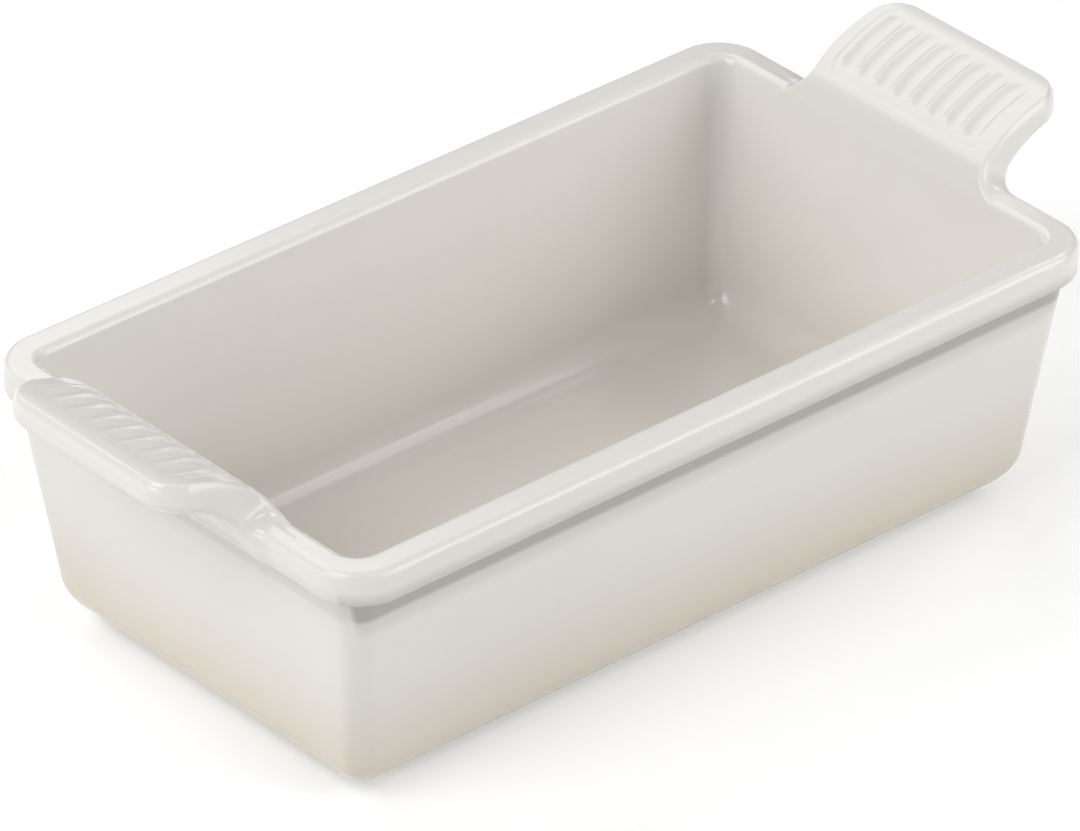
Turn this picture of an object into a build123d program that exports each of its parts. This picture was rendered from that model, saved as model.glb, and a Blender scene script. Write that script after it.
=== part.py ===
from build123d import *
import math
import os

# Rectangular baking dish: a loaf dish of glazed stoneware with a tab handle at each short end.
# Millimetres, +Z up, +X along the dish. The origin is the middle of the dish, on the table.

# The rim, the band that stands out round the top of the dish
rim_length = 250.0
rim_width = 144.5
rim_top = 77.6
rim_band_height = 10.4
rim_end_overhang = 4.0
rim_side_overhang = 5.0
rim_corner_radius = 13.7
rim_outer_round = 2.3
rim_under_round = 2.6
rim_inner_round = 2.2

# The walls, which lean out towards the rim by so many degrees, and the floor
end_wall_lean = 6.9
side_wall_lean = 7.5
wall_thickness = 5.6
floor_thickness = 5.0
wall_corner_radius = 6.8
base_corner_radius = 5.6
inner_corner_radius = 6.0
floor_corner_radius = 4.5
base_round = 14.7
floor_round = 10.0

# The bare foot that the dish stands on
foot_height = 1.7
foot_width = 7.0
foot_inset = 1.5
foot_corner_radius = 5.0
foot_edge_round = 0.5

# The glaze over the basin, outside and inside
glaze_thickness = 0.5
bare_band_height = 1.6

# The tab handles: a slab that rolls up and outwards over the rim and thins towards its tip
handle_width = 66.2
handle_reach = 25.7
handle_rise = 19.6
handle_roll_radius = 43.2
handle_tip_thickness = 9.8
handle_under_shift = 5.7
handle_corner_radius = 9.9
handle_bend_round = 15.0
handle_top_round = 4.4
handle_under_round = 3.0
handle_seam = 1.0

# Where the handle's sides spread into the rim: an outline in a plane that leans so many degrees
flare_lean = 69.0
flare_inset = 5.0
flare_radius = 7.5

# The fluted grip on top of each handle
flute_count = 8
flute_pitch = 6.7
flute_width = 5.0
flute_length = 21.0
flute_depth = 0.5
flute_tip_margin = 7.6

# How many steps draw a curved stretch, and how far a cutting shape runs past what it cuts
curve_steps = 6
mouth_steps = 3
overrun = 10.0

# Heights and places worked out from the sizes above
rim_bottom = rim_top - rim_band_height
rim_end = rim_length / 2
glaze_bottom = foot_height - glaze_thickness
floor_top = foot_height + floor_thickness
wall_top_half_length = rim_end - rim_end_overhang
wall_top_half_width = rim_width / 2 - rim_side_overhang
inner_half_length = wall_top_half_length - wall_thickness
handle_top = rim_top + handle_rise
handle_tip = rim_end + handle_reach
roll_centre_height = handle_top - handle_roll_radius
under_centre_height = roll_centre_height + handle_under_shift
under_roll_radius = handle_roll_radius - handle_under_shift - handle_tip_thickness
root_half_width = handle_width / 2 + flare_radius


def lean_run(rise, lean):
    """How far a leaning wall moves sideways over a rise."""
    return rise * math.tan(math.radians(lean))


def wall_half(height, top_half, lean, bottom, radius):
    """Half size of a leaning wall at a height, with a round of a given radius where it meets its bottom."""
    drop = (bottom + radius - height) / radius
    if drop <= math.sin(math.radians(lean)):
        return top_half - lean_run(rim_bottom - height, lean)
    bottom_half = top_half - lean_run(rim_bottom - bottom, lean)
    centre = bottom_half - radius * math.tan(math.radians((90 - lean) / 2))
    return centre + radius * math.sqrt(max(0, 1 - drop * drop))


def basin_outline(height, inset, bottom, radius, low_corner, high_corner, spread=0):
    """The rounded outline of the basin at one height, moved in from the outer wall by an inset."""
    half_x = wall_half(height, wall_top_half_length - inset, end_wall_lean, bottom, radius) + spread
    half_y = wall_half(height, wall_top_half_width - inset, side_wall_lean, bottom, radius) + spread
    share = min(1, (height - bottom) / radius)
    corner = low_corner + (high_corner - low_corner) * share + spread
    return Plane.XY.offset(height) * RectangleRounded(2 * half_x, 2 * half_y, corner)


def basin_form(inset, bottom, top, radius, low_corner, high_corner):
    """A solid basin shape: a curved stretch at the bottom, then a straight leaning wall."""
    turns = [90 * step / curve_steps for step in range(curve_steps + 1)]
    heights = [bottom + radius * (1 - math.cos(math.radians(turn))) for turn in turns]
    curved = loft([basin_outline(h, inset, bottom, radius, low_corner, high_corner) for h in heights])
    ends = [basin_outline(h, inset, bottom, radius, low_corner, high_corner) for h in (heights[-1], top)]
    return curved + loft(ends, ruled=True)


def outer_form(inset):
    """The outside of the basin up to the rim, drawn in by an inset."""
    return basin_form(inset, glaze_bottom + inset, rim_bottom, base_round - inset,
                      base_corner_radius - inset, wall_corner_radius - inset)


def cavity_form(inset, top):
    """The hollow of the basin, from the floor up to a height, with its walls moved in by an inset."""
    return basin_form(wall_thickness + inset, floor_top + inset, top, floor_round - inset,
                      floor_corner_radius - inset, inner_corner_radius - inset)


def basin():
    """The stoneware floor and walls under their glaze."""
    return outer_form(glaze_thickness) - cavity_form(-glaze_thickness, rim_bottom)


def outside_glaze():
    """The coat on the outer walls. It stops short of the foot and leaves a bare band."""
    coat = outer_form(0) - outer_form(glaze_thickness)
    bare = Box(rim_length, rim_width, glaze_bottom + bare_band_height,
               align=(Align.CENTER, Align.CENTER, Align.MIN))
    return coat - bare


def inside_glaze():
    """The coat on the floor and the inner walls."""
    return cavity_form(-glaze_thickness, rim_bottom) - cavity_form(0, rim_bottom)


def foot_ring():
    """The bare ring under the base that the dish stands on."""
    half_x = wall_half(glaze_bottom, wall_top_half_length, end_wall_lean, glaze_bottom, base_round)
    half_y = wall_half(glaze_bottom, wall_top_half_width, side_wall_lean, glaze_bottom, base_round)
    outer, inner = [RectangleRounded(2 * (half_x - inset), 2 * (half_y - inset), foot_corner_radius)
                    for inset in (foot_inset, foot_inset + foot_width)]
    ring = extrude(outer - inner, foot_height)
    return fillet(ring.faces().sort_by(Axis.Z)[0].edges(), foot_edge_round)


def rim_block():
    """The rim band as one solid block, rounded above and below along its outer edge."""
    band = Pos(0, 0, rim_bottom) * extrude(RectangleRounded(rim_length, rim_width, rim_corner_radius),
                                           rim_band_height)
    band = fillet(band.faces().sort_by(Axis.Z)[-1].edges(), rim_outer_round)
    return fillet(band.faces().sort_by(Axis.Z)[0].edges(), rim_under_round)


def mouth():
    """The rounded edge where the inner wall turns into the top of the rim, as a cutting shape."""
    turns = [90 * step / mouth_steps for step in range(mouth_steps + 1)]
    outlines = []
    for turn in turns:
        height = rim_top - rim_inner_round * (1 - math.sin(math.radians(turn)))
        spread = rim_inner_round * (1 - math.cos(math.radians(turn)))
        outlines.append(basin_outline(height, wall_thickness, floor_top, floor_round,
                                      floor_corner_radius, inner_corner_radius, spread))
    return loft(outlines)


def roll_arc(radius, centre_height, start):
    """An arc in the upright plane along the dish, from a turn about its centre round to the handle's tip."""
    turns = (start, (start + math.pi / 2) / 2, math.pi / 2)
    return ThreePointArc(*[(handle_tip + radius * math.cos(turn), centre_height + radius * math.sin(turn))
                           for turn in turns])


def top_arc():
    """The handle's top, from where the line of the leaning inner wall meets it."""
    lean = math.radians(end_wall_lean)
    wall_distance = ((handle_tip - inner_half_length) * math.cos(lean)
                     + (rim_bottom - roll_centre_height) * math.sin(lean))
    start = math.acos(-wall_distance / handle_roll_radius) - lean
    return roll_arc(handle_roll_radius, roll_centre_height, start)


def under_arc():
    """The handle's underside, from just inside the rim's rounded lower edge."""
    rise = rim_bottom + rim_under_round / 2 - under_centre_height
    start = math.pi - math.asin(rise / under_roll_radius)
    return roll_arc(under_roll_radius, under_centre_height, start)


def round_bend(face, corner):
    """Round the bend between the inner wall and the handle's top."""
    bend = face.vertices().sort_by_distance(corner)[0]
    return fillet(bend, handle_bend_round)


def slab():
    """The rolled slab at the right-hand end, wider than the handle and not yet cut to its outline."""
    top = top_arc()
    under = under_arc()
    inside = Polyline(under @ 0, (inner_half_length, rim_bottom), top @ 0)
    section = round_bend(make_face([top, Line(top @ 1, under @ 1), under, inside]), top @ 0)
    return extrude(Plane.XZ * section, root_half_width, both=True)


def flare():
    """The outline that spreads from the handle's sides into the rim, pulled through the leaning slab."""
    lean = math.radians(flare_lean)
    along = (math.cos(lean), 0, math.sin(lean))
    through = (-math.sin(lean), 0, math.cos(lean))
    half = handle_width / 2
    lag = flare_radius * (1 - math.cos(math.pi / 4))
    right = ThreePointArc((0, -root_half_width), (lag, -half - lag), (flare_radius, -half))
    left = ThreePointArc((flare_radius, half), (lag, half + lag), (0, root_half_width))
    reach = handle_roll_radius + overrun
    tab = Polyline((flare_radius, -half), (reach, -half), (reach, half), (flare_radius, half))
    tail = Polyline((0, root_half_width), (-reach, root_half_width), (-reach, -root_half_width),
                    (0, -root_half_width))
    outline = make_face([right, tab, left, tail])
    plane = Plane(origin=(rim_end - flare_inset, 0, rim_top), x_dir=along, z_dir=through)
    return extrude(plane * outline, handle_roll_radius, both=True)


def tip_outline():
    """The handle's round-cornered tip seen from above, open towards the dish."""
    tab = RectangleRounded(2 * handle_tip, handle_width, handle_corner_radius)
    root = Rectangle(rim_end + handle_tip, 2 * (root_half_width + overrun))
    return extrude(tab + root, handle_top + overrun)


def flutes():
    """The shallow flutes in the handle's top: round-ended channels that follow the roll towards the tip."""
    first = -flute_pitch * (flute_count - 1) / 2
    middle = handle_tip - flute_tip_margin - flute_length / 2
    slots = [Pos(middle, first + flute_pitch * i) * SlotOverall(flute_length, flute_width)
             for i in range(flute_count)]
    columns = Pos(0, 0, roll_centre_height) * extrude(Sketch() + slots, handle_roll_radius + overrun)
    core = Cylinder(handle_roll_radius - flute_depth, handle_width, rotation=(90, 0, 0))
    return columns - Pos(handle_tip, 0, roll_centre_height) * core


def tip_edge(form, place):
    """The straight edge across the handle's tip: the lower one is the first, the upper one the last."""
    edges = [edge for edge in form.edges().filter_by(GeomType.LINE)
             if abs(edge.center().Y) < rim_inner_round and edge.center().X > handle_tip - rim_inner_round]
    return ShapeList(edges).sort_by(Axis.Z)[place]


def right_tab():
    """The whole right-hand handle, down into the rim, with its edges rounded and its flutes sunk."""
    tab = slab() & flare() & tip_outline()
    tab = fillet(tip_edge(tab, -1), handle_top_round)
    return fillet(tip_edge(tab, 0), handle_under_round) - flutes()


def open_air():
    """The space over the right-hand handle: up the inner wall, round the roll and out past the tip."""
    roll = top_arc()
    ceiling = handle_top + overrun
    far = inner_half_length - overrun
    rest = Polyline(roll @ 1, (handle_tip, ceiling), (far, ceiling), (far, rim_bottom),
                    (inner_half_length, rim_bottom), roll @ 0)
    face = round_bend(make_face([roll, rest]), roll @ 0)
    return extrude(Plane.XZ * face, root_half_width, both=True)


def rim_and_handles():
    """The rim and both handles as one form, before they are told apart."""
    tab = right_tab()
    air = open_air()
    band = rim_block() - cavity_form(0, rim_top) - mouth()
    return band + tab + mirror(tab, Plane.YZ) - air - mirror(air, Plane.YZ)


def rim_pieces():
    """The rim band, and the handle at each end of it. They part along flat seams just off the rim's own faces."""
    form = rim_and_handles()
    band = Pos(0, 0, rim_bottom) * Box(rim_length + 2 * handle_seam, rim_width, rim_band_height + handle_seam,
                                       align=(Align.CENTER, Align.CENTER, Align.MIN))
    handles = (form - band).solids().sort_by(Axis.X)
    return form & band, handles[0], handles[-1]


if __name__ == "__main__":
    os.makedirs("parts", exist_ok=True)
    rim, left_handle, right_handle = rim_pieces()
    pieces = {
        "basin": basin(),
        "outside_glaze": outside_glaze(),
        "inside_glaze": inside_glaze(),
        "foot_ring": foot_ring(),
        "rim": rim,
        "left_handle": left_handle,
        "right_handle": right_handle,
    }
    for name, piece in pieces.items():
        export_step(piece, f"parts/{name}.step")
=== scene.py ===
import math

import bmesh
import bpy
import numpy as np
from mathutils import Matrix, Vector


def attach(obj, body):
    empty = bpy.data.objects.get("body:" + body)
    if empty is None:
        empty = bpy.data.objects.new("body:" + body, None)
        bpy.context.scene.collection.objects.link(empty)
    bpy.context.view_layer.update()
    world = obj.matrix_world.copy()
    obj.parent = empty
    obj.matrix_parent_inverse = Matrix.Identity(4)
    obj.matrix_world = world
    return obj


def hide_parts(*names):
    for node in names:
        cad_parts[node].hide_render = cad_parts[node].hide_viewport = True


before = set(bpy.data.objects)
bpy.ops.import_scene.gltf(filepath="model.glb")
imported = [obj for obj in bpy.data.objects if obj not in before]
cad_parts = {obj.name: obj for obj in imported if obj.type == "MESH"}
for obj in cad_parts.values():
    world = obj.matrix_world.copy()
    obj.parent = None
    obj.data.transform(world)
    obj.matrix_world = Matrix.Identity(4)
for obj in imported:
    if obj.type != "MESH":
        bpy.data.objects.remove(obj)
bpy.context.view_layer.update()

MM = 0.001

# Sizes in millimetres and angles, the same as in the dish's solids. X runs along the dish, Y across it.
RIM_X, RIM_Y, RIM_TOP, RIM_BOTTOM = 125.0, 72.25, 77.6, 67.2
RIM_CORNER, OUTER_ROUND, UNDER_ROUND, INNER_ROUND = 13.7, 2.3, 2.6, 2.2
WALL_X, WALL_Y = 121.0, 67.25
END_LEAN, SIDE_LEAN = math.radians(6.9), math.radians(7.5)
WALL, GLAZE = 5.6, 0.5
WALL_CORNER, BASE_CORNER, INNER_CORNER, FLOOR_CORNER = 6.8, 5.6, 6.0, 4.5
BASE_ROUND, FLOOR_ROUND = 14.7, 10.0
GLAZE_BOTTOM, FLOOR_TOP, BARE_BAND = 1.2, 6.7, 1.6
TIP_X, ROLL_Z, ROLL_R = 150.7, 54.0, 43.2
TIP_SLAB, UNDER_SHIFT = 9.8, 5.7
HANDLE_HALF, TIP_CORNER, SEAM = 33.1, 9.9, 1.0
FLARE_X, FLARE_R, FLARE_LEAN = 120.0, 7.5, math.radians(69)
TOP_EDGE = 4.4

# Finer shapes that only the dressed model has, also in millimetres. Places along a handle are measured on its
# roll from the tip, and places beside it from its flank.
LOW_EDGE = 3.5
WEB_THIN, WEB_START, WEB_END = 3.7, 2.5, 13.1
FLUTES, PITCH, FLUTE_HALF, FLUTE_DEPTH = 8, 6.65, 3.0, 1.15
FLUTE_START, FLUTE_END, BOWL_POWER, RIDGE_ROUND = 7.4, 29.6, 2.5, 0.4
PANEL_START, PANEL_END, PANEL_HALF, PANEL_CORNER = 5.6, 32.8, 28.6, 4.5
PANEL_DEPTH, PANEL_EDGE = 0.3, 0.7
FLARE_SINK, FLARE_START, FLARE_END = 1.6, 2.0, 3.0
COVE = 1.4

# How the rim and its handles blend, in millimetres. REACH is how wide a blend is and MORE what a handle adds
# to it. Starts and ends are places beside a handle's flank, but along its roll for EDGE and on X for TOP.
# LOW and HIGH are above the rim's lower edge. Beside a handle its rolled top is lifted off the rim's own edge.
NEAR_START, NEAR_END = 1.0, 13.0
LIFT, LIFT_START, LIFT_END, ROLL_MIN_X = 4.0, 5.0, 15.0, 100.0
MOUTH_REACH, MOUTH_MORE = 0.3, 2.2
EDGE_CUT, EDGE_START, EDGE_END = 0.8, 12.0, 28.0
TOP_REACH, TOP_MORE, TOP_START_X, TOP_END_X = 0.3, 2.8, 118.5, 122.0
ROOT_REACH, ROOT_MORE, ROOT_START, ROOT_END = 1.2, 2.4, -4.0, 3.0
ROOT_LOW, ROOT_HIGH = 1.0, 5.0

# The grid for the rim: runs of (from, to, spacing) on each axis, for a quarter of the dish
GRID_X = ((2, 102, 4), (102, 108, 1), (108, 152, 0.4))
GRID_Y = ((0.15, 30, 0.3), (30, 46, 0.45), (46, 56, 1), (56, 73.5, 0.4))
GRID_Z = ((66.3, 98, 0.4),)
SLAB = 16  # grid layers worked out at a time
FOOT_REACH = 0.41  # points within a cell of the line where the inner glaze begins
SHARP = math.radians(40)

# Points on each ring of a glaze coat: on a corner, and on a long and a short side
CORNER_CUTS, SIDE_CUTS = 14, (26, 16)


def plan_box(x, y, half_x, half_y, corner):
    """Distance from a round-cornered rectangle in plan, negative inside it."""
    a = np.abs(x) - (half_x - corner)
    b = np.abs(y) - (half_y - corner)
    return np.hypot(np.maximum(a, 0), np.maximum(b, 0)) + np.minimum(np.maximum(a, b), 0) - corner


def convex(a, b, radius):
    """Two faces that meet square at an edge of that radius."""
    outer = np.hypot(np.maximum(a + radius, 0), np.maximum(b + radius, 0))
    return np.minimum(np.maximum(a, b), -radius) + outer


def concave(a, b, radius):
    """Two forms that meet square in a hollow of that radius."""
    return -convex(-a, -b, radius)


def soft_max(a, b, reach):
    """The greater of two values, rounded off where they differ by less than the reach."""
    gap = np.maximum(reach - np.abs(a - b), 0) / reach
    return np.maximum(a, b) + gap * gap * reach / 4


def soft_min(a, b, reach):
    """The lesser of two values, rounded off in the same way."""
    return -soft_max(-a, -b, reach)


def step(value, low, high):
    """A smooth change from 0 at the low value to 1 at the high one."""
    t = np.clip((value - low) / (high - low), 0, 1)
    return t * t * (3 - 2 * t)


def relief(along, y):
    """How deep the fluted panel sinks below the handle's top, at a distance along the roll from the tip."""
    panel = plan_box(along - (PANEL_START + PANEL_END) / 2, y, (PANEL_END - PANEL_START) / 2,
                     PANEL_HALF, PANEL_CORNER)
    across = y - PITCH * np.clip(np.floor(y / PITCH) + 0.5, 0.5 - FLUTES / 2, FLUTES / 2 - 0.5)
    middle, half = (FLUTE_START + FLUTE_END) / 2, (FLUTE_END - FLUTE_START) / 2
    past = np.maximum(np.abs(along - middle) - half + FLUTE_HALF, 0)
    bowl = FLUTE_DEPTH * (1 - (np.hypot(past, across) / FLUTE_HALF) ** BOWL_POWER)
    return PANEL_DEPTH * step(-panel, 0, PANEL_EDGE) + soft_max(bowl, 0.0, RIDGE_ROUND)


def rim_field(x, y, z):
    """The rim and its two handles: negative inside them, and near their surface a distance in millimetres."""
    ax, ay = np.abs(x), np.abs(y)
    outside = plan_box(x, y, RIM_X, RIM_Y, RIM_CORNER)
    above = convex(outside, z - RIM_TOP, OUTER_ROUND)
    below = convex(outside, RIM_BOTTOM - z, UNDER_ROUND)

    # The tab of the handle: its rolled top, its outline with a flare into the rim, and its underside
    from_axis = np.hypot(ax - TIP_X, z - ROLL_Z)
    turn = np.arctan2(TIP_X - ax, z - ROLL_Z)
    sink = FLARE_SINK * step(ay, HANDLE_HALF + FLARE_START, HANDLE_HALF + FLARE_R + FLARE_END)
    up_flare = (ax - FLARE_X) * math.cos(FLARE_LEAN) + (z - RIM_TOP) * math.sin(FLARE_LEAN) + sink
    tip = convex(-turn * (ROLL_R - TIP_SLAB / 2), ay - HANDLE_HALF, TIP_CORNER)
    under = (ROLL_R - TIP_SLAB - UNDER_SHIFT - np.hypot(ax - TIP_X, z - ROLL_Z - UNDER_SHIFT)
             + WEB_THIN * step(ay, HANDLE_HALF + WEB_START, HANDLE_HALF + WEB_END))
    tab = convex(under, concave(tip, up_flare, FLARE_R), LOW_EDGE)
    tab = np.maximum(np.maximum(tab, from_axis - ROLL_R), ay - HANDLE_HALF - FLARE_R - FLARE_END)

    # The inner side: the leaning wall, which runs up into the fluted top of the handle
    half_x = WALL_X - WALL + (z - RIM_BOTTOM) * math.tan(END_LEAN)
    half_y = WALL_Y - WALL + (z - RIM_BOTTOM) * math.tan(SIDE_LEAN)
    wall = -plan_box(x, y, half_x, half_y, INNER_CORNER) * math.cos(END_LEAN)
    near = 1 - step(ay, HANDLE_HALF + NEAR_START, HANDLE_HALF + NEAR_END)
    roll = (from_axis - ROLL_R + relief(ROLL_R * turn, y)
            - LIFT * step(ay, HANDLE_HALF + LIFT_START, HANDLE_HALF + LIFT_END))
    inner = np.where((ay < HANDLE_HALF + LIFT_END) & (ax > ROLL_MIN_X),
                     soft_max(wall, roll, MOUTH_REACH + MOUTH_MORE * near), wall)

    # The edge between that side and the top, and the joint under the handle's root
    edge = (INNER_ROUND + (TOP_EDGE - INNER_ROUND) * near
            * (1 - EDGE_CUT * step(ROLL_R * turn, EDGE_START, EDGE_END)))
    top_reach = TOP_REACH + TOP_MORE * step(ax, TOP_START_X, TOP_END_X)
    upper = convex(inner, soft_min(above, tab, top_reach), edge)
    root_reach = (ROOT_REACH + ROOT_MORE * step(ay, HANDLE_HALF + ROOT_START, HANDLE_HALF + ROOT_END)
                  * step(z, RIM_BOTTOM + ROOT_LOW, RIM_BOTTOM + ROOT_HIGH))
    return np.maximum(np.maximum(upper, soft_min(below, tab, root_reach)), RIM_BOTTOM - z)


def slope(field, points, reach=0.02):
    """The field's gradient at points."""
    grads = []
    for axis in range(3):
        ahead, behind = points.copy(), points.copy()
        ahead[:, axis] += reach
        behind[:, axis] -= reach
        grads.append((field(*ahead.T) - field(*behind.T)) / (2 * reach))
    return np.stack(grads, 1)


def settle(field, points, rounds=4, least_slope=0.1, longest_step=0.5):
    """Moves points that are near a field's zero surface onto it."""
    for _ in range(rounds):
        grad = slope(field, points)
        size = np.maximum((grad * grad).sum(1), least_slope)
        share = np.clip(field(*points.T) / size, -longest_step, longest_step)
        points = points - grad * share[:, None]
    return points


def sample(field, xs, ys, zs):
    """The field on a grid of a quarter of the dish, mirrored to all of it, with the full axes."""
    values = np.empty((len(xs), len(ys), len(zs)), np.float32)
    for start in range(0, len(xs), SLAB):
        part = slice(start, start + SLAB)
        values[part] = field(xs[part, None, None], ys[None, :, None], zs[None, None, :])
    values = np.concatenate([values[::-1], values])
    values = np.concatenate([values[:, ::-1], values], 1)
    return values, [np.concatenate([-xs[::-1], xs]), np.concatenate([-ys[::-1], ys]), zs]


def cell_points(values, axes, cells):
    """For each cell, the middle of the places where the surface crosses its edges."""
    corners = [(a, b, c) for a in (0, 1) for b in (0, 1) for c in (0, 1)]
    known = {c: values[tuple((cells + c).T)] for c in corners}
    total, count = np.zeros((len(cells), 3)), np.zeros(len(cells))
    for c in corners:
        for axis in range(3):
            if c[axis]:
                continue
            d = tuple(k + (i == axis) for i, k in enumerate(c))
            a, b = known[c], known[d]
            cut = (a < 0) != (b < 0)
            share = np.where(cut, a / np.where(cut, a - b, 1), 0)
            for i in range(3):
                low = axes[i][cells[:, i] + c[i]]
                high = axes[i][cells[:, i] + d[i]]
                total[:, i] += np.where(cut, low + share * (high - low), 0)
            count += cut
    return total / count[:, None]


def skin(field, xs, ys, zs):
    """Points and four-sided faces of a field's zero surface, one point to each grid cell it crosses."""
    values, axes = sample(field, xs, ys, zs)
    inside = values < 0
    size = [n - 1 for n in values.shape]
    held = np.zeros(size, np.int8)
    for a, b, c in np.ndindex(2, 2, 2):
        held += inside[a:a + size[0], b:b + size[1], c:c + size[2]]
    cells = np.argwhere((held > 0) & (held < 8))
    index = np.full(size, -1, np.int32)
    index[tuple(cells.T)] = np.arange(len(cells))
    faces = []
    for axis in range(3):
        one, two = [i for i in range(3) if i != axis]
        low, high = [slice(None)] * 3, [slice(None)] * 3
        low[axis], high[axis] = slice(0, -1), slice(1, None)
        a, b = inside[tuple(low)], inside[tuple(high)]
        found = np.argwhere(a != b)
        found = found[(found[:, one] > 0) & (found[:, two] > 0)
                      & (found[:, one] < size[one]) & (found[:, two] < size[two])]
        quad = []
        for da, db in ((1, 1), (0, 1), (0, 0), (1, 0)):
            where = found.copy()
            where[:, one] -= da
            where[:, two] -= db
            quad.append(index[tuple(where.T)])
        quad = np.stack(quad, 1)
        flip = a[tuple(found.T)] == (axis == 1)
        quad[flip] = quad[flip][:, ::-1]
        faces.append(quad)
    return cell_points(values, axes, cells), np.concatenate(faces)


def stops(runs):
    """Places along an axis: runs of (from, to, spacing), joined."""
    places = []
    for low, high, gap in runs:
        places.extend(np.linspace(low, high, max(1, round((high - low) / gap)), endpoint=False))
    places.append(runs[-1][1])
    return np.array(places)


def new_object(name, data):
    """An object in the scene that shows the data."""
    shown = bpy.data.objects.new(name, data)
    bpy.context.scene.collection.objects.link(shown)
    return shown


def mesh_object(name, points, faces, normals=None, smooth_count=None):
    """A mesh from points in millimetres. Faces after the smooth count stay flat."""
    mesh = bpy.data.meshes.new(name)
    mesh.from_pydata((np.asarray(points) * MM).tolist(), [], faces)
    smooth = np.ones(len(mesh.polygons), bool)
    if smooth_count is not None:
        smooth[smooth_count:] = False
    mesh.polygons.foreach_set("use_smooth", smooth)
    mesh.update()
    piece = new_object(name, mesh)
    if normals is None:
        mesh.set_sharp_from_angle(angle=SHARP)
    else:
        mesh.normals_split_custom_set_from_vertices(normals.tolist())
    return piece


def seam_ring(work, side):
    """The closed ring of points where the faces marked as rim meet one handle."""
    after = {}
    for edge in work.edges:
        if len(edge.link_faces) != 2:
            continue
        marks = {face.material_index for face in edge.link_faces}
        if marks == {0, side}:
            for v, w in (edge.verts, reversed(edge.verts)):
                after.setdefault(v, []).append(w)
    start = min(after, key=lambda v: (round(v.co.x, 6), round(v.co.y, 6), round(v.co.z, 6)))
    ring, last, here = [start], None, start
    while True:
        onward = [v for v in after[here] if v is not last]
        last, here = here, onward[0]
        if here is start:
            return ring
        ring.append(here)


def cut_apart(points, faces):
    """Parts the rim from its handles along flat cuts just off the rim's own faces, and closes the cuts."""
    work = bmesh.new()
    verts = [work.verts.new(p) for p in points]
    for f in faces:
        work.faces.new([verts[i] for i in f])
    end, top, touch = RIM_X + SEAM, RIM_TOP + SEAM, 1e-4
    for where, normal in (((end, 0, 0), (1, 0, 0)), ((-end, 0, 0), (-1, 0, 0)), ((0, 0, top), (0, 0, 1))):
        bmesh.ops.bisect_plane(work, geom=work.verts[:] + work.edges[:] + work.faces[:],
                               plane_co=where, plane_no=normal)
    for face in work.faces:
        c = face.calc_center_median()
        face.material_index = 0 if abs(c.x) < end and c.z < top else (1 if c.x > 0 else 2)

    # A handle's seam turns from the upright cut into the level one, so it takes two lids
    lids = []
    for side in (1, 2):
        ring = seam_ring(work, side)
        turns = [i for i, v in enumerate(ring)
                 if abs(abs(v.co.x) - end) < touch and abs(v.co.z - top) < touch]
        lids.append((side, ring[turns[0]:turns[-1] + 1]))
        lids.append((side, ring[turns[-1]:] + ring[:turns[0] + 1]))
    made = {}
    for mark, name in enumerate(("rim", "right_handle", "left_handle")):
        chosen = [list(face.verts) for face in work.faces if face.material_index == mark]
        caps = [lid for side, lid in lids if mark in (0, side)]
        index, spots, rings = {}, [], []
        for ring in chosen + caps:
            for v in ring:
                if v not in index:
                    index[v] = len(spots)
                    spots.append(tuple(v.co))
            rings.append([index[v] for v in ring])
        made[name] = (np.array(spots), rings, len(chosen))
    work.free()
    return made


def turn_lids(rings, count):
    """Turns each lid so that it runs against the faces beside it, as the outside of a closed form does."""
    runs = {(a, b) for ring in rings[:count] for a, b in zip(ring, ring[1:] + ring[:1])}
    for i in range(count, len(rings)):
        ring = rings[i]
        same = sum((a, b) in runs for a, b in zip(ring, ring[1:]))
        if same > len(ring) / 2:
            rings[i] = ring[::-1]
    return rings


def sharpen(points):
    """Draws the points at the foot of the rim's inner wall onto the line where the glaze below begins."""

    def side(x, y, z):
        return plan_box(x, y, WALL_X - WALL, WALL_Y - WALL, INNER_CORNER)

    chosen = (np.abs(points[:, 2] - RIM_BOTTOM) < FOOT_REACH) & (np.abs(side(*points.T)) < FOOT_REACH)
    spots = points[chosen]
    spots[:, 2] = RIM_BOTTOM
    points[chosen] = settle(side, spots)
    return points


def build_rim():
    """The rim and the two handles, as three objects."""
    points, faces = skin(rim_field, stops(GRID_X), stops(GRID_Y), stops(GRID_Z))
    points = sharpen(settle(rim_field, points))
    touch, lift = 0.02, 0.5
    pieces = {}
    for name, (spots, rings, count) in cut_apart(points, faces).items():
        # At the foot the normals are those of the wall a little higher, so that it runs on into the coat
        x, y, z = np.abs(spots).T
        probes = spots.copy()
        probes[:, 2] += lift * ((np.abs(z - RIM_BOTTOM) < touch) & (x < WALL_X) & (y < WALL_Y))
        grad = slope(rim_field, probes)
        normals = grad / np.linalg.norm(grad, axis=1)[:, None]
        pieces[name] = mesh_object(name + "_glazed", spots, turn_lids(rings, count), normals, count)
    return pieces


def wall_half(height, top_half, lean, bottom, radius):
    """Half size of a leaning wall at a height, with a round of that radius where it meets its bottom."""
    drop = (bottom + radius - height) / radius
    if drop <= math.sin(lean):
        return top_half - (RIM_BOTTOM - height) * math.tan(lean)
    bottom_half = top_half - (RIM_BOTTOM - bottom) * math.tan(lean)
    centre = bottom_half - radius * math.tan((math.pi / 2 - lean) / 2)
    return centre + radius * math.sqrt(max(0, 1 - drop * drop))


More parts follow.
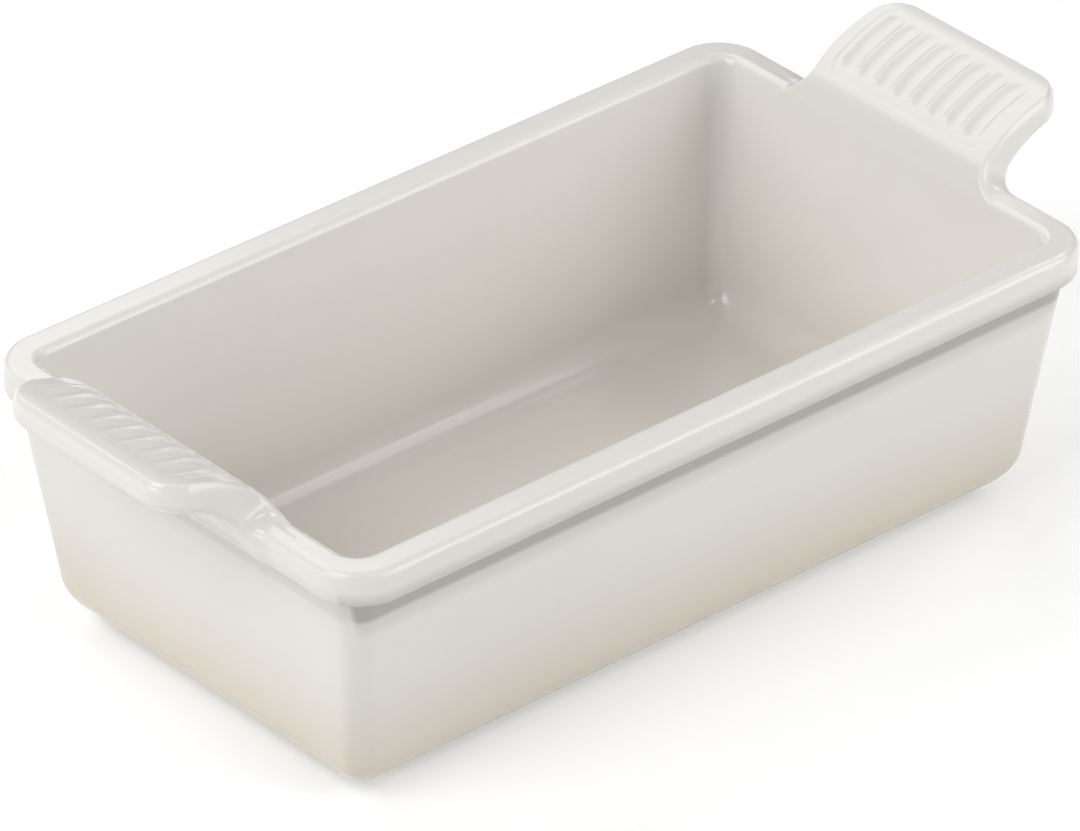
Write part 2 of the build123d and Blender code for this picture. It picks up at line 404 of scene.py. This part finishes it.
def loop(half_x, half_y, corner, height):
    """Points round a round-cornered rectangle, anticlockwise from the start of the corner at +X, +Y."""
    centres = [(sx * (half_x - corner), sy * (half_y - corner))
               for sx, sy in ((1, 1), (-1, 1), (-1, -1), (1, -1))]
    points = []
    for k, (cx, cy) in enumerate(centres):
        for i in range(CORNER_CUTS + 1):
            a = math.pi / 2 * (k + i / CORNER_CUTS)
            points.append((cx + corner * math.cos(a), cy + corner * math.sin(a)))
        last = points[-1]
        ex, ey = centres[(k + 1) % 4]
        goal = (ex + corner * math.cos(a), ey + corner * math.sin(a))
        cuts = SIDE_CUTS[k % 2]
        for i in range(1, cuts):
            t = i / cuts
            points.append((last[0] + (goal[0] - last[0]) * t, last[1] + (goal[1] - last[1]) * t))
    return np.array([(x, y, height) for x, y in points])


def coat_loop(inset, bottom, radius, low_corner, high_corner, height, spread=0.0):
    """The ring at a height of a surface that lies inside the outer wall by the inset.

    Its corners change from low to high over the round at its bottom. The spread widens it all round.
    """
    half_x = wall_half(height, WALL_X - inset, END_LEAN, bottom, radius) + spread
    half_y = wall_half(height, WALL_Y - inset, SIDE_LEAN, bottom, radius) + spread
    share = min(1, (height - bottom) / radius)
    return loop(half_x, half_y, low_corner + (high_corner - low_corner) * share + spread, height)


def tube(name, loops, close=False, end=False):
    """A mesh through loops with the same count of points. It may close on itself, or end in flat faces."""
    n, rows = len(loops[0]), len(loops)
    faces = []
    for r in range(rows if close else rows - 1):
        a, b = r * n, ((r + 1) % rows) * n
        for i in range(n):
            j = (i + 1) % n
            faces.append([a + i, a + j, b + j, b + i])
    if end:
        faces.append(list(range((rows - 1) * n, rows * n)))
        faces.append(list(range(n))[::-1])
    return mesh_object(name, np.concatenate(loops), faces)


def heights(bottom, radius, top, turns, steps):
    """Heights of a coat's rings: so many over the round at its bottom, then so many up the wall."""
    curved = [bottom + radius * (1 - math.cos(math.pi / 2 * i / turns)) for i in range(turns + 1)]
    return curved + list(np.linspace(curved[-1], top, steps + 1)[1:])


def build_outside_glaze():
    """The coat on the outer walls, from the bare band at the foot to a small cove under the rim."""
    edge = GLAZE_BOTTOM + BARE_BAND
    out_gap, back_gap, lip_depth, cove_turns = 0.15, 0.1, GLAZE * 0.6, 6
    front = (0, GLAZE_BOTTOM, BASE_ROUND, BASE_CORNER, WALL_CORNER)
    behind = (GLAZE, GLAZE_BOTTOM + GLAZE, BASE_ROUND - GLAZE, BASE_CORNER - GLAZE, WALL_CORNER - GLAZE)
    out = [coat_loop(*front, h) for h in heights(front[1], front[2], RIM_BOTTOM - COVE, 20, 16)
           if h > edge + out_gap]
    for i in range(1, cove_turns + 1):
        a = math.pi / 2 * i / cove_turns
        out.append(coat_loop(*front, RIM_BOTTOM - COVE + COVE * math.sin(a), COVE * (1 - math.cos(a))))
    back = [coat_loop(*behind, h) for h in heights(behind[1], behind[2], RIM_BOTTOM, 20, 6)
            if h > edge + back_gap]
    lip = coat_loop(lip_depth, GLAZE_BOTTOM + lip_depth, BASE_ROUND, BASE_CORNER, WALL_CORNER, edge)
    return tube("glaze_outside", [lip] + out + back[::-1], close=True)


def build_inside_glaze():
    """The coat on the inner walls and the floor, where smaller rings lead to a flat face in the middle."""
    front = (WALL, FLOOR_TOP, FLOOR_ROUND, FLOOR_CORNER, INNER_CORNER)
    behind = (WALL - GLAZE, FLOOR_TOP - GLAZE, FLOOR_ROUND + GLAZE,
              FLOOR_CORNER + GLAZE, INNER_CORNER + GLAZE)
    down = [coat_loop(*front, h) for h in heights(front[1], front[2], RIM_BOTTOM, 18, 14)[::-1]]
    down += [down[-1] * np.array([t, t, 1]) for t in (0.75, 0.5, 0.25)]
    up = [coat_loop(*behind, h) for h in heights(behind[1], behind[2], RIM_BOTTOM, 12, 6)]
    return tube("glaze_inside", up + down, end=True)


def set_values(node, values):
    """Puts constants on a node's own sockets, given as (socket, value) pairs."""
    for socket, value in values:
        node.inputs[socket].default_value = value


def add(tree, kind, values=(), **settings):
    """A new node with its settings, then its constants."""
    node = tree.nodes.new(kind)
    for name, value in settings.items():
        setattr(node, name, value)
    set_values(node, values)
    return node


def new_material(name):
    """A material, its node tree, its shader, and the call that links two sockets."""
    material = bpy.data.materials.new(name)
    material.use_nodes = True
    tree = material.node_tree
    return material, tree, tree.nodes["Principled BSDF"], tree.links.new


# Painted shade under the rim, standing in for the rim's shadow on the outer wall and the shade on the rim's
# under-round: its tone by height in millimetres, and for each axis the half size of the outer wall there and
# how much of the tone shows. It comes in between two shares of that half size.
UNDER_RIM_SHADE_TONES = ((54.0, 1.0), (59.6, 0.86), (61.6, 0.56), (67.4, 0.58), (69.4, 0.8), (72.5, 1.0))
UNDER_RIM_SHADE_SCALE = 100.0
UNDER_RIM_SHADE_WALLS = (("X", 118.7, 0.35), ("Y", 64.5, 1.0))
UNDER_RIM_SHADE_START, UNDER_RIM_SHADE_END = 0.985, 1.01
UNDER_RIM_SHADE_GREEN, UNDER_RIM_SHADE_BLUE = 0.985, 0.95  # what is left of those colours as a tone falls to nothing


def painted_under_rim_shade(tree, split, colour):
    """Darkens the outer glaze with painted shade in the hollow under the rim, where the rim's shadow falls, on
    the outside only.
    """
    link = tree.links.new
    height = add(tree, "ShaderNodeMapRange", [("From Max", UNDER_RIM_SHADE_SCALE * MM)])
    link(split.outputs["Z"], height.inputs["Value"])
    ramp = add(tree, "ShaderNodeValToRGB")
    ramp.color_ramp.interpolation = "EASE"
    while len(ramp.color_ramp.elements) < len(UNDER_RIM_SHADE_TONES):
        ramp.color_ramp.elements.new(0.5)
    for element, (place, tone) in zip(ramp.color_ramp.elements, UNDER_RIM_SHADE_TONES):
        element.position = place / UNDER_RIM_SHADE_SCALE
        green, blue = (low + (1 - low) * tone for low in (UNDER_RIM_SHADE_GREEN, UNDER_RIM_SHADE_BLUE))
        element.color = (tone, tone * green, tone * blue, 1)
    link(height.outputs["Result"], ramp.inputs["Fac"])
    far = add(tree, "ShaderNodeMath", operation="MAXIMUM")
    for k, (axis, half, most) in enumerate(UNDER_RIM_SHADE_WALLS):
        size = add(tree, "ShaderNodeMath", operation="ABSOLUTE")
        link(split.outputs[axis], size.inputs[0])
        share = add(tree, "ShaderNodeMath", [(1, half * MM)], operation="DIVIDE")
        link(size.outputs["Value"], share.inputs[0])
        outer = add(tree, "ShaderNodeMapRange",
                    [("From Min", UNDER_RIM_SHADE_START), ("From Max", UNDER_RIM_SHADE_END), ("To Max", most)])
        link(share.outputs["Value"], outer.inputs["Value"])
        link(outer.outputs["Result"], far.inputs[k])
    shade_mix = add(tree, "ShaderNodeMix", data_type="RGBA", blend_type="MULTIPLY")
    link(far.outputs["Value"], shade_mix.inputs["Factor"])
    link(colour, shade_mix.inputs["A"])
    link(ramp.outputs["Color"], shade_mix.inputs["B"])
    return shade_mix.outputs["Result"]


def glaze_material(name, foot, body, with_under_rim_shade=False):
    """A cream glaze. Its colour at the foot changes to that of the body 45 mm higher: the foot colour is
    darker as painted shade low in the dish, and outside also a warmer tone of the glaze itself. It can also
    take the painted shade under the rim.
    """
    material, tree, shader, link = new_material(name)
    set_values(shader, [("IOR", 1.52)])
    place = add(tree, "ShaderNodeTexCoord")
    split = add(tree, "ShaderNodeSeparateXYZ")
    link(place.outputs["Object"], split.inputs[0])
    low = add(tree, "ShaderNodeMapRange", [("From Max", 45 * MM)], interpolation_type="SMOOTHSTEP")
    link(split.outputs["Z"], low.inputs["Value"])
    cloud = add(tree, "ShaderNodeTexNoise", [("Scale", 22.0), ("Detail", 3.0)])
    link(place.outputs["Object"], cloud.inputs["Vector"])
    tone = add(tree, "ShaderNodeMix", [("A", foot), ("B", body)], data_type="RGBA")
    link(low.outputs["Result"], tone.inputs["Factor"])
    drift = add(tree, "ShaderNodeMix", [("B", (0.98, 0.97, 0.96, 1))],
                data_type="RGBA", blend_type="MULTIPLY")
    link(cloud.outputs["Fac"], drift.inputs["Factor"])
    link(tone.outputs["Result"], drift.inputs["A"])
    colour = drift.outputs["Result"]
    # painted shade under the rim, on the outer glaze only
    if with_under_rim_shade:
        colour = painted_under_rim_shade(tree, split, colour)
    link(colour, shader.inputs["Base Color"])
    gloss = add(tree, "ShaderNodeMapRange", [("To Min", 0.12), ("To Max", 0.2)])
    link(cloud.outputs["Fac"], gloss.inputs["Value"])
    link(gloss.outputs["Result"], shader.inputs["Roughness"])
    ripple = add(tree, "ShaderNodeTexNoise", [("Scale", 110.0), ("Detail", 2.0)])
    link(place.outputs["Object"], ripple.inputs["Vector"])
    bump = add(tree, "ShaderNodeBump", [("Strength", 0.5), ("Distance", 0.06 * MM)])
    link(ripple.outputs["Fac"], bump.inputs["Height"])
    link(bump.outputs["Normal"], shader.inputs["Normal"])
    return material


def clay_material():
    """Bare stoneware with a fine grain."""
    material, tree, shader, link = new_material("bare_stoneware")
    set_values(shader, [("Roughness", 0.75)])
    place = add(tree, "ShaderNodeTexCoord")
    grain = add(tree, "ShaderNodeTexNoise", [("Scale", 900.0), ("Detail", 4.0)])
    link(place.outputs["Object"], grain.inputs["Vector"])
    tone = add(tree, "ShaderNodeMix", [("A", (0.5, 0.42, 0.32, 1)), ("B", (0.66, 0.59, 0.48, 1))],
               data_type="RGBA")
    link(grain.outputs["Fac"], tone.inputs["Factor"])
    link(tone.outputs["Result"], shader.inputs["Base Color"])
    bump = add(tree, "ShaderNodeBump", [("Strength", 0.4), ("Distance", 0.2 * MM)])
    link(grain.outputs["Fac"], bump.inputs["Height"])
    link(bump.outputs["Normal"], shader.inputs["Normal"])
    return material


FLOOR_HALF = 6.0  # metres
FLOOR_GREY, FLOOR_GREY_SEEN = (0.8, 0.8, 0.8, 1), (0.76, 0.76, 0.76, 1)
GLOW_START, GLOW_END = 0.4, 1.4  # metres from the middle of the dish
GLOW_NEAR, GLOW_FAR = 0.36, 1.0
WORLD_LIGHT, WORLD_SEEN = 0.03, 1.0
WHITE = (1, 1, 1, 1)


def build_floor():
    """A white ground. The camera and reflections also see a glow on it, which grows outward."""
    half = FLOOR_HALF
    mesh = bpy.data.meshes.new("floor")
    corners = [(-half, -half, 0), (half, -half, 0), (half, half, 0), (-half, half, 0)]
    mesh.from_pydata(corners, [], [(0, 1, 2, 3)])
    floor = new_object("floor", mesh)
    material, tree, shader, link = new_material("studio_white")
    set_values(shader, [("Roughness", 1.0), ("Specular IOR Level", 0.0), ("Emission Color", WHITE)])
    path = add(tree, "ShaderNodeLightPath")
    seen = add(tree, "ShaderNodeMath", operation="MAXIMUM")
    link(path.outputs["Is Camera Ray"], seen.inputs[0])
    link(path.outputs["Is Glossy Ray"], seen.inputs[1])
    tint = add(tree, "ShaderNodeMix", [("A", FLOOR_GREY), ("B", FLOOR_GREY_SEEN)], data_type="RGBA")
    link(seen.outputs["Value"], tint.inputs["Factor"])
    link(tint.outputs["Result"], shader.inputs["Base Color"])
    place = add(tree, "ShaderNodeTexCoord")
    reach = add(tree, "ShaderNodeVectorMath", operation="LENGTH")
    link(place.outputs["Object"], reach.inputs[0])
    outward = add(tree, "ShaderNodeMapRange", [("From Min", GLOW_START), ("From Max", GLOW_END),
                                               ("To Min", GLOW_NEAR), ("To Max", GLOW_FAR)])
    link(reach.outputs["Value"], outward.inputs["Value"])
    shine = add(tree, "ShaderNodeMath", operation="MULTIPLY")
    link(seen.outputs["Value"], shine.inputs[0])
    link(outward.outputs["Result"], shine.inputs[1])
    link(shine.outputs["Value"], shader.inputs["Emission Strength"])
    mesh.materials.append(material)


def build_world():
    """A surround that the camera sees white and that lights the dish only faintly."""
    world = bpy.data.worlds.new("studio")
    bpy.context.scene.world = world
    world.use_nodes = True
    tree = world.node_tree
    surround = tree.nodes["Background"]
    set_values(surround, [("Color", WHITE)])
    path = add(tree, "ShaderNodeLightPath")
    strength = add(tree, "ShaderNodeMix", [("A", WORLD_LIGHT), ("B", WORLD_SEEN)])
    tree.links.new(path.outputs["Is Camera Ray"], strength.inputs["Factor"])
    tree.links.new(strength.outputs["Result"], surround.inputs["Strength"])


# Area lamps: place in metres, width and height in metres, watts. Each points at the middle of the dish.
LAMPS = {
    "left_box": ((-1.36, 0.0, 1.46), (1.2, 0.9), 15.4),
    "low_left_box": ((-1.91, 0.0, 0.48), (1.2, 0.6), 10),
    "back_box": ((0.0, 1.41, 1.41), (2.4, 1.6), 22),
    "front_box": ((0.7, -1.28, 0.46), (1.2, 0.6), 7.6),
    "front_right_box": ((1.05, -1.26, 1.15), (1.4, 1.0), 9.5),
    "front_spot": ((0.06, -0.89, 1.33), (0.3, 0.2), 1.6),
    "right_spot": ((1.07, 0.04, 1.19), (0.3, 0.2), 1.7),
}
LAMP_AIM = Vector((0, 0, 0.04))


def build_lamps():
    """The lamps of the table, as rectangles."""
    for name, (place, size, power) in LAMPS.items():
        data = bpy.data.lights.new(name, "AREA")
        data.shape = "RECTANGLE"
        data.size, data.size_y = size
        data.energy = power
        lamp = new_object(name, data)
        lamp.location = place
        lamp.rotation_euler = (LAMP_AIM - Vector(place)).to_track_quat("-Z", "Y").to_euler()


# The camera as fitted to the photograph: angles in degrees, the focal length in pixels, and millimetres
CAMERA_TURN, CAMERA_RISE = math.radians(-41.04), math.radians(31.812)
FOCAL_PIXELS, PHOTO_WIDTH, SENSOR_WIDTH = 10206.19, 1080, 36.0
CAMERA_RIGHT, CAMERA_UP, CAMERA_BACK, CAMERA_AIM_Z = -1.575, 2.956, 2603.05, 38.46


def build_camera():
    """The camera that took the photograph."""
    level = math.cos(CAMERA_RISE)
    back = Vector((math.sin(CAMERA_TURN) * level, -math.cos(CAMERA_TURN) * level, math.sin(CAMERA_RISE)))
    right = Vector((math.cos(CAMERA_TURN), math.sin(CAMERA_TURN), 0))
    up = back.cross(right)
    data = bpy.data.cameras.new("camera")
    camera = new_object("camera", data)
    data.sensor_width = SENSOR_WIDTH
    data.lens = SENSOR_WIDTH * FOCAL_PIXELS / PHOTO_WIDTH
    data.clip_start, data.clip_end = 0.1, 20
    spot = right * CAMERA_RIGHT + up * CAMERA_UP + back * CAMERA_BACK + Vector((0, 0, CAMERA_AIM_Z))
    camera.matrix_world = Matrix.Translation(spot * MM) @ Matrix((right, up, back)).transposed().to_4x4()
    bpy.context.scene.camera = camera
    bpy.context.scene.view_settings.view_transform = "Standard"


CREAM = (0.825, 0.81, 0.775, 1)
# Outside, the glaze turns warmer and darker towards the foot: partly its own warmer tone, partly painted shade
# low on the walls.
WARM_FOOT_AND_SHADE, INNER_FLOOR_SHADE = (0.73, 0.67, 0.555, 1), (0.75, 0.725, 0.68, 1)
# The outer glaze carries the painted shade under the rim.
outer_glaze = glaze_material("cream_glaze", WARM_FOOT_AND_SHADE, CREAM, with_under_rim_shade=True)
# Inside, the darker colour on the floor and low walls is painted shade in the deep interior; the glaze there
# is the same cream.
inner_glaze = glaze_material("cream_glaze_inside", INNER_FLOOR_SHADE, CREAM)
clay = clay_material()
pieces = build_rim()
pieces["outside_glaze"] = build_outside_glaze()
pieces["inside_glaze"] = build_inside_glaze()
slots = {"rim": "glazed_rim", "left_handle": "glazed_handle", "right_handle": "glazed_handle",
         "outside_glaze": "outside_glaze", "inside_glaze": "inside_glaze"}
for node, slot in slots.items():
    piece = pieces[node]
    piece.data.materials.append(inner_glaze if node == "inside_glaze" else outer_glaze)
    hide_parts(node)
    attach(piece, "root")
for node in ("basin", "foot_ring"):
    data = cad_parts[node].data
    data.materials.clear()
    data.materials.append(clay)

build_floor()
build_world()
build_lamps()
build_camera()
